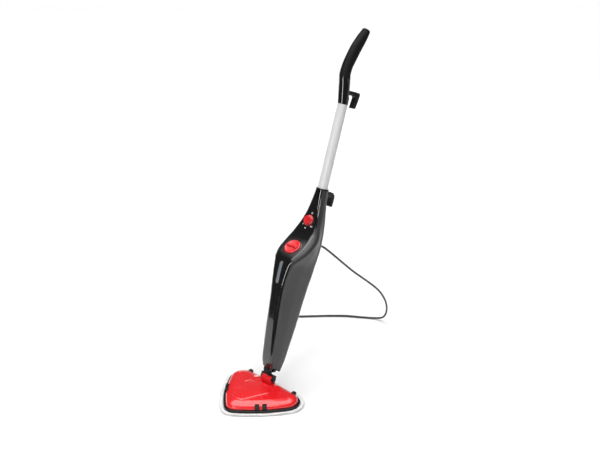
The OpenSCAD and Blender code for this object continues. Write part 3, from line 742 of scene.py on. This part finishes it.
SKIRT = 16.0  # how far the shells hang below the panel at the back


def wall_mesh(rings):
    """Vertices and faces of a wall: each ring runs out along its outer side and back along its inner one."""
    verts, faces = loft(rings, False, False)
    n = len(rings[0])
    last = (len(rings) - 1) * n
    for i in range(n // 2 - 1):
        faces.append((i, i + 1, n - 2 - i, n - 1 - i))
        faces.append((last + i, last + n - 1 - i, last + n - 2 - i, last + i + 1))
    return verts, faces


def shell(name, path, mat, stands_for, mirror=1, wall=2.4):
    """A wall whose section is an open path, with its own thickness and closed ends."""
    rings = []
    for w in BODY_W:
        s = spline(BODY, w)
        hang = SKIRT * (1 - smoothstep(33, 66, w))
        drop = lambda x, y: hang * smoothstep(-46, -30, y) * (1 - 0.7 * smoothstep(11, 23, x))
        outer = [(mirror * x, y, w - drop(x, y)) for x, y in path(s, 0)]
        inner = [(mirror * x, y, w - drop(x, y)) for x, y in path(s, wall)]
        rings.append(outer + inner[::-1])
    verts, faces = wall_mesh(rings)
    return mesh_piece(name, verts, faces, "pole", mat, stands_for, POLE, sharp=38)


CAP = POLE @ Matrix.Translation((0, -73.3, 424)) @ Matrix.Rotation(math.radians(47.5), 4, "X")
DIAL = POLE @ Matrix.Translation((0, -28.4, 514)) @ Matrix.Rotation(math.radians(78), 4, "X")
WINDOW = (6.0, 345.0, 29.0)  # half width, middle and half the straight length


def slot_outline(r, mid, half):
    """An upright slot with round ends: its half width, its middle and half its straight length."""
    return unit_arc(0, mid + half, r, 0, 180, 16) + unit_arc(0, mid - half, r, 180, 360, 16)


def disc(r, z0, z1, n=64):
    """A plain round form, used only to cut with."""
    ring = unit_arc(0, 0, r, 0, 360 - 360 / n, n - 1)
    return loft([ring_at(ring, z0), ring_at(ring, z1)])


def front_panel():
    """The gloss front panel with its filler hole, dial hole and window slot."""
    panel = shell("front_cover", lambda s, t: front_path(s, t, 0.3), "black_gloss", ("front_panel",))
    cut(panel, *disc(30.2, -14, 12), CAP, "filler_hole")
    cut(panel, *disc(6.2, -10, 10), DIAL, "dial_hole")
    slot = slot_outline(WINDOW[0] + 0.25, WINDOW[1], WINDOW[2])
    tool = loft([[(x, -125, w) for x, w in slot], [(x, -95, w) for x, w in slot]])
    cut(panel, *tool, POLE, "window_slot")
    smooth(panel.data, 30)
    return panel


def level_window():
    """The water level window, set just under the panel and slightly crowned."""
    r, mid, half = WINDOW
    rings = []
    steps = [mid - half - r + 0.02] + [mid - half - r * math.cos(a * math.pi / 16) for a in range(1, 8)]
    steps += [mid - half + 2 * half * i / 18 for i in range(19)]
    steps += [mid + half + r * math.sin(a * math.pi / 16) for a in range(1, 8)] + [mid + half + r - 0.02]
    for w in steps:
        over = max(0.0, abs(w - mid) - half)
        h = math.sqrt(max(0.01, r * r - over * over))
        y = spline(BODY, w)[1] + 0.55
        front = [(h * k / 5, y + 0.35 * (k / 5)**2 - 0.2 * (1 - (k / 5)**2), w) for k in range(5, -6, -1)]
        rings.append(front + [(-h, y + 2.0, w), (h, y + 2.0, w)])
    verts, faces = loft(rings)
    return mesh_piece("window_pane", verts, faces, "pole", "window_plastic", ("level_window",), POLE,
                      sharp=45)


def window_frame():
    """A thin raised frame round the window."""
    r, mid, half = WINDOW
    path = slot_outline(r + 0.75, mid, half)
    rings = []
    n = len(path)
    for i, (x, w) in enumerate(path):
        tx, tw = path[(i + 1) % n][0] - path[i - 1][0], path[(i + 1) % n][1] - path[i - 1][1]
        out = Vector((tw, 0, -tx)).normalized()
        y = spline(BODY, w)[1]
        rings.append([tuple(Vector((x, y, w)) + out * 0.75 * math.cos(a) + Vector((0, 0.55 * math.sin(a), 0)))
                      for a in (k * math.pi / 5 for k in range(10))])
    verts, faces = loft(rings + [rings[0]], False, False)
    return mesh_piece("window_frame", verts, faces, "pole", "bezel_grey", (), POLE)


def panel_y(x, w):
    """The front panel's outer face at x, w."""
    s = spline(BODY, w)
    flat = s[2] - s[3]
    over = max(0.0, abs(x) - flat)
    return s[1] + s[3] - math.sqrt(max(0.0, s[3]**2 - over**2))


def level_marks():
    """Four small printed signs round the dial: an off ring and one, two and three drops."""
    verts, faces = [], []

    def sign(cx, cw, shape):
        """A thin raised sign on the panel, from its flat outline."""
        m = len(shape)
        b = len(verts)
        for lift in (0.14, -0.3):
            for x, w in shape:
                verts.append((cx + x, panel_y(cx + x, cw + w) - lift, cw + w))
        faces.append(tuple(b + i for i in range(m)))
        faces.append(tuple(b + m + i for i in reversed(range(m))))
        faces.extend((b + i, b + m + i, b + m + (i + 1) % m, b + (i + 1) % m) for i in range(m))

    def drop(cx, cw, r):
        """One drop sign."""
        sign(cx, cw, unit_arc(0, -0.3 * r, r, -210, 30, 10) + [(0, 1.9 * r)])
    for a, count in ((82, 0), (217, 1), (262, 2), (322, 3)):
        cx, cw = 23.5 * math.cos(math.radians(a)), 514 + 25.0 * math.sin(math.radians(a))
        cx = max(-17.5, min(17.5, cx))
        if count == 0:
            for half in (0, 1):
                arc = unit_arc(0, 0, 3.2, 180 * half, 180 * half + 180, 10)
                sign(cx, cw, arc + [(0.62 * x, 0.62 * y) for x, y in arc[::-1]])
        for k in range(count):
            drop(cx + (k - (count - 1) / 2) * 3.1, cw, 1.45)
    return mesh_piece("level_marks", verts, faces, "pole", "silver_tube", (), POLE, weld=0)


def tank_cap():
    """The tank cap: a turned disc with a fluted rim and a waisted grip bar across it."""
    flute = lambda a, r, z: -0.35 * (0.5 + 0.5 * math.cos(a * 36)) if r > 24.4 else 0.0
    profile = [(3.1, 2.7), (22, 2.7), (26.2, 2.9), (27.0, 3.7), (27.0, 6.2), (26.4, 7.3), (25.2, 8.0),
               (23.6, 8.3), (21.6, 7.7), (19.0, 7.2), (12, 7.3), (3.1, 7.4)]
    verts, faces = turned(profile, 180, flute)
    cap = mesh_piece("cap_disc", verts, faces, "tank_cap", "red_knob", ("tank_cap",), CAP, sharp=50)
    rings = []
    for i in range(33):
        x = -21.6 + 43.2 * i / 32
        end = min(1.0, (21.9 - abs(x)) / 4.5)
        round_end = math.sqrt(max(0.02, 1 - (1 - end)**2))
        half = (3.4 + 1.7 * (x / 21.6)**2) * round_end
        high = 6.4 + 7.6 * round_end - 1.0 * (1 - (x / 21.6)**2)
        rings.append([(x, half * c, 6.4 + (high - 6.4) * h) for c, h in
                      ((-1.25, 0), (-1.08, 0.25), (-1.0, 0.6), (-0.85, 0.86), (-0.55, 0.97), (0, 1.0),
                       (0.55, 0.97), (0.85, 0.86), (1.0, 0.6), (1.08, 0.25), (1.25, 0))])
    verts, faces = loft(rings)
    mesh_piece("cap_grip", verts, faces, "tank_cap", "red_knob", (), CAP, sharp=60)
    profile = [(17, -12), (20.8, -12), (20.8, -0.6), (29.0, -0.6), (30.0, 0.2), (29.9, 1.2), (29.0, 1.9),
               (27.6, 2.15), (22, 2.2), (17, 2.2)]
    verts, faces = turned(profile, 128)
    mesh_piece("cap_bezel", verts, faces, "pole", "bezel_grey", ("filler_ring",), CAP, sharp=40)
    return cap


def steam_dial():
    """The steam dial: a skirted knob with a ridged rim and a raised pointer bar."""
    profile = [(3.1, 1.7), (15.5, 1.7), (17.2, 1.9), (17.5, 2.7), (17.3, 4.2), (16.4, 5.1), (14.6, 5.5),
               (14.2, 6.0), (14.0, 10.2), (13.4, 11.2), (12.2, 11.6), (10.5, 11.2), (8.5, 10.4), (3.1, 10.1)]
    ridge = lambda a, r, z: 0.55 * (0.5 + 0.5 * math.cos(a * 18))**2 if z > 5.9 and r > 12.0 else 0.0
    verts, faces = turned(profile, 216, ridge)
    dial = mesh_piece("dial_knob", verts, faces, "steam_dial", "red_knob", ("steam_dial",), DIAL, sharp=50)
    rings = []
    for i in range(21):
        y = -11.4 + 22.8 * i / 20
        round_end = math.sqrt(max(0.02, 1 - max(0.0, (abs(y) - 8.6) / 2.9)**2))
        half = 2.3 * round_end
        high = 2.6 * round_end
        rings.append([(half * c, y, 10.0 + high * h) for c, h in
                      ((-1.3, 0), (-1.05, 0.35), (-0.85, 0.8), (-0.4, 1), (0.4, 1), (0.85, 0.8),
                       (1.05, 0.35), (1.3, 0))])
    verts, faces = loft(rings)
    mesh_piece("dial_pointer", verts, faces, "steam_dial", "red_knob", (), DIAL, sharp=60)
    profile = [(6.5, -0.4), (18.2, -0.4), (18.8, 0.3), (18.2, 1.0), (16.0, 1.3), (6.5, 1.3)]
    verts, faces = turned(profile, 96)
    mesh_piece("dial_seat", verts, faces, "pole", "bezel_grey", (), DIAL, sharp=40)
    return dial


def strain_relief():
    """The tapered, ribbed cord guard at the back of the body."""
    place = POLE @ Matrix.Translation((0, 0, 433)) @ Matrix.Rotation(math.radians(-90), 4, "X")
    profile = [(3.6, 19.2), (7.9, 19.2), (7.9, 22.4), (6.0, 22.6), (6.0, 27.0), (7.4, 27.4), (7.4, 29.4)]
    for k in range(6):
        y = 30.2 + k * 3.6
        r = 6.1 - 0.25 * k
        profile += [(r - 1.2, y), (r - 1.2, y + 1.0), (r, y + 1.3), (r, y + 3.0)]
    profile += [(4.4, 51.6), (3.55, 52.0)]
    verts, faces = turned(profile, 48)
    return mesh_piece("strain_relief", verts, faces, "pole", "cord_rubber", ("cord_gland",), place, sharp=35)


def collar():
    """The ring where the tube enters the body."""
    profile = [(16.15, 612.5), (19.9, 612.5), (20.0, 619.4), (16.15, 619.4)]
    verts, faces = turned(round_profile(profile, 0.8), 96)
    return mesh_piece("tube_collar", verts, faces, "pole", "black_trim", ("collar_ring",), POLE, sharp=50)


def silver_tube():
    """The tube, with rolled ends and a faint welded seam at its back."""
    seam = lambda a, r, z: 0.10 * math.exp(-((a - math.pi / 2) / 0.05)**2) if r > 15.5 else 0.0
    profile = [(14.8, 531), (15.3, 530.2), (15.8, 530.6), (16, 532), (16, 887.4), (15.7, 888.8),
               (15.2, 889), (14.8, 888)]
    verts, faces = turned(profile, 128, seam)
    return mesh_piece("silver_pole", verts, faces, "pole", "silver_tube", ("pole_tube",), POLE, sharp=50)


front_panel()
shell("rear_cover_right", lambda s, t: rear_path(s, t, 0.3), "grey_shell", ("rear_shell_right",))
shell("rear_cover_left", lambda s, t: rear_path(s, t, 0.3), "grey_shell", ("rear_shell_left",), mirror=-1)
level_window()
window_frame()
level_marks()
tank_cap()
steam_dial()
strain_relief()
collar()
silver_tube()
refined("lower_cord_hook", "pole", "black_trim", 1.4)

# ================================================================ handle
# w, y, half width, half depth, slope of the section in degrees
HANDLE = [
    (889, 0, 16.5, 16.5, 0), (899, -2, 16.8, 16.8, 8), (920, -7, 17.2, 17.4, 13),
    (948, -14, 17.2, 18, 10), (966, -19, 16.8, 18.8, 2), (982, -22, 16.4, 18.6, -8),
    (1004, -20, 16, 18.2, -18), (1026, -13.5, 15.6, 19.6, -24), (1060, -1, 15.2, 20, -24),
    (1096, 16, 15, 17, -22), (1118, 27, 13.5, 13.5, -20), (1126, 31, 9, 8.5, -18)]
INLAY = [(885, -4), (915, -9), (940, -13), (955, -19), (968, -29), (976, -36)]  # w, rear edge of the inlay


def handle_point(w, a, t=0.0):
    """A point of the handle's skin at section w and angle a (90 degrees is the back)."""
    _, y, hw, hd, slope = spline(HANDLE, w)
    x = (hw - t) * math.cos(a)
    d = (hd - t) * math.sin(a)
    return (x, y + d * math.cos(math.radians(slope)), w + d * math.sin(math.radians(slope)))


def inlay_angle(w):
    """Half the back's share of the section: where the inlay's edge lies at w, in degrees below level."""
    _, y, _, hd, slope = spline(HANDLE, w)
    edge = spline(INLAY, min(INLAY[-1][0], w))[1]
    return math.degrees(math.asin(max(-0.995, min(0.3, (edge - y) / (hd * math.cos(math.radians(slope)))))))


def arc_shell(name, ws, a0, a1, mat, stands_for, wall=2.6, n=40, relief=None):
    """A wall between two angles of the handle's section, which may change along it."""
    rings = []
    for w in ws:
        lo, hi = math.radians(a0(w)), math.radians(a1(w))
        angles = [lo + (hi - lo) * i / n for i in range(n + 1)]
        outer = [handle_point(w, a, -(relief(w, a) if relief else 0.0)) for a in angles]
        inner = [handle_point(w, a, wall) for a in angles]
        rings.append(outer + inner[::-1])
    verts, faces = wall_mesh(rings)
    return mesh_piece(name, verts, faces, "pole", mat, stands_for, POLE, sharp=40)


def grip_relief(w, a):
    """Diagonal ribs on the grip's sides, fading to its front and to its ends."""
    side = abs(math.cos(a))
    fade = smoothstep(990, 1000, w) * (1 - smoothstep(1098, 1110, w)) * smoothstep(0.12, 0.4, side)
    return 0.34 * fade * math.sin(2 * math.pi * (w + 15.4 * a * (1 if math.cos(a) > 0 else -1)) / 4.4)


def steps(a, b, step):
    """Even steps from a to b, near the given size."""
    n = max(1, round((b - a) / step))
    return [a + (b - a) * i / n for i in range(n + 1)]


def handle():
    """The handle: gloss front, grey back and spine, ribbed soft grip and its rounded end."""
    arc_shell("handle_front", steps(889.3, 973, 2.5), lambda w: 180 - inlay_angle(w) + 1.0,
              lambda w: 360 + inlay_angle(w) - 1.0, "black_gloss", ("handle_inlay",))
    arc_shell("handle_back", steps(889.3, 970, 2.5), lambda w: inlay_angle(w) + 1.0,
              lambda w: 180 - inlay_angle(w) - 1.0, "grey_shell", ("handle_shell",))
    spine_half = lambda w: 24 - 6 * smoothstep(1070, 1112, w)
    arc_shell("handle_spine", steps(966, 1112, 2.5), lambda w: 90 - spine_half(w),
              lambda w: 90 + spine_half(w), "grey_shell", (), n=16)
    arc_shell("soft_grip", steps(966, 1119, 1.0), lambda w: 90 + spine_half(w) + 1.2,
              lambda w: 450 - spine_half(w) - 1.2, "grip_soft", ("grip_cover",), n=110, relief=grip_relief)
    tip_rings = []
    _, y_tip, hw, hd, slope = spline(HANDLE, 1118)
    lean = math.radians(slope)
    for k in range(9):
        w = 1117.5 + 8.5 * math.sin(k / 8 * math.pi / 2)
        shrink = math.sqrt(max(0.004, 1 - (k / 8)**2.6))
        y = y_tip + (w - 1118) * 0.33
        tip_rings.append([(hw * shrink * math.cos(a), y + hd * shrink * math.sin(a) * math.cos(lean),
                           w + hd * shrink * math.sin(a) * math.sin(lean))
                          for a in (i * math.pi / 24 for i in range(48))])
    verts, faces = loft(tip_rings)
    mesh_piece("grip_end", verts, faces, "pole", "grip_soft", (), POLE, sharp=60)


handle()
refined("release_button", "release_button", "black_trim", 1.0)
refined("upper_cord_hook", "upper_cord_hook", "black_trim", 1.1)


# ================================================================ tie and plug
def cord_tie():
    """A hook-and-loop strap drawn round the hank's middle, its free end lapped over."""
    top, w0, w1 = HANK_H + 1.9, -42.0, -28.0  # the strap's height and its two edges along the hank
    loop = round_rect(-33.0, 0.45, 33.0, top, 9.0, 8)
    path = loop + loop[:10]
    rings = []
    m = len(path)
    for i, (y, z) in enumerate(path):
        k0, k1 = (i - 1) % len(loop), (i + 1) % len(loop)
        ty, tz = loop[k1][0] - loop[k0][0], loop[k1][1] - loop[k0][1]
        out = Vector((0, tz, -ty)).normalized()
        lap = 0.95 if i >= len(loop) else 0.0
        c = Vector((0, y, z)) + out * lap
        prof = [(w0, 0), (w0 + 0.5, 0.42), (w1 - 0.5, 0.42), (w1, 0), (w1 - 0.5, -0.42), (w0 + 0.5, -0.42)]
        rings.append([(x, c.y + out.y * t, max(0.3, c.z + out.z * t)) for x, t in prof])
    verts, faces = loft(rings)
    return mesh_piece("cord_strap", verts, faces, "pole", "black_trim", ("cord_tie",), HANK, sharp=50)


def superellipse(hy, hz, e, n=40):
    """A rounded box outline of the given half sizes; e above 2 makes it squarer."""
    out = []
    for i in range(n):
        a = 2 * math.pi * i / n
        c, s = math.cos(a), math.sin(a)
        out.append((math.copysign(abs(c)**(2 / e), c) * hy, math.copysign(abs(s)**(2 / e), s) * hz))
    return out


PLUG_LIFT = 12.0  # the plug's middle above the hank's top


def plug():
    """A moulded two-pin plug with a ribbed sleeve."""
    z0 = HANK_H + PLUG_LIFT
    rows = [(12, 5.4, 5.4, 2.2), (15, 8.5, 7.0, 2.4), (20, 13.5, 8.8, 2.8), (27, 17.2, 9.8, 3.2),
            (34, 18.4, 10.2, 3.6), (38, 17.9, 10.0, 3.8), (42, 18.6, 10.4, 4.0), (47, 20.8, 10.8, 4.4),
            (51, 21.6, 10.9, 4.6), (53.2, 21.4, 10.7, 4.6), (54, 20.6, 10.0, 4.4)]
    rings = []
    for x in steps(12, 54, 1.0):
        _, hy, hz, e = spline(rows, x)
        groove = -0.45 * (0.5 + 0.5 * math.cos((x - 27) * 2 * math.pi / 3.6)) * smoothstep(25, 28, x) \
            * (1 - smoothstep(40, 43, x))
        rings.append([(x, y, z0 + z) for y, z in superellipse(hy + groove, hz + groove, e)])
    verts, faces = loft(rings)
    body = mesh_piece("plug_body", verts, faces, "pole", "cord_rubber", ("mains_plug",), HANK, sharp=55)
    place = HANK @ Matrix.Translation((0, 0, z0)) @ Matrix.Rotation(math.radians(90), 4, "Y")
    profile = [(3.55, 0.0), (4.2, 0.2)]
    for k in range(4):
        x, r = 0.8 + k * 2.8, 4.6 + 0.2 * k
        profile += [(r - 0.8, x), (r - 0.8, x + 0.8), (r, x + 1.0), (r, x + 2.4)]
    profile += [(5.3, 12.6), (3.55, 12.8)]
    verts, faces = turned(profile, 40)
    sleeve = mesh_piece("plug_sleeve", verts, faces, "pole", "cord_rubber", (), place, sharp=35)
    pins = []
    for s in (-1, 1):
        at = place @ Matrix.Translation((0, s * 9.5, 0))
        base = round_profile([(0.01, 53.0), (2.4, 53.0), (2.4, 62.5), (0.01, 62.5)], 0.2)
        pin = [(0.01, 62.0), (2.1, 62.0), (2.1, 70.4), (1.8, 71.8), (1.1, 72.7), (0.01, 72.9)]
        for kind, prof, mat in (("shank", base, "cord_rubber"), ("pin", pin, "steel")):
            verts, faces = turned(prof, 32)
            side = "left" if s < 0 else "right"
            pins.append(mesh_piece(f"plug_{kind}_{side}", verts, faces, "pole", mat, (), at, sharp=40))
    return [body, sleeve] + pins


strap = cord_tie()
plug_pieces = plug()
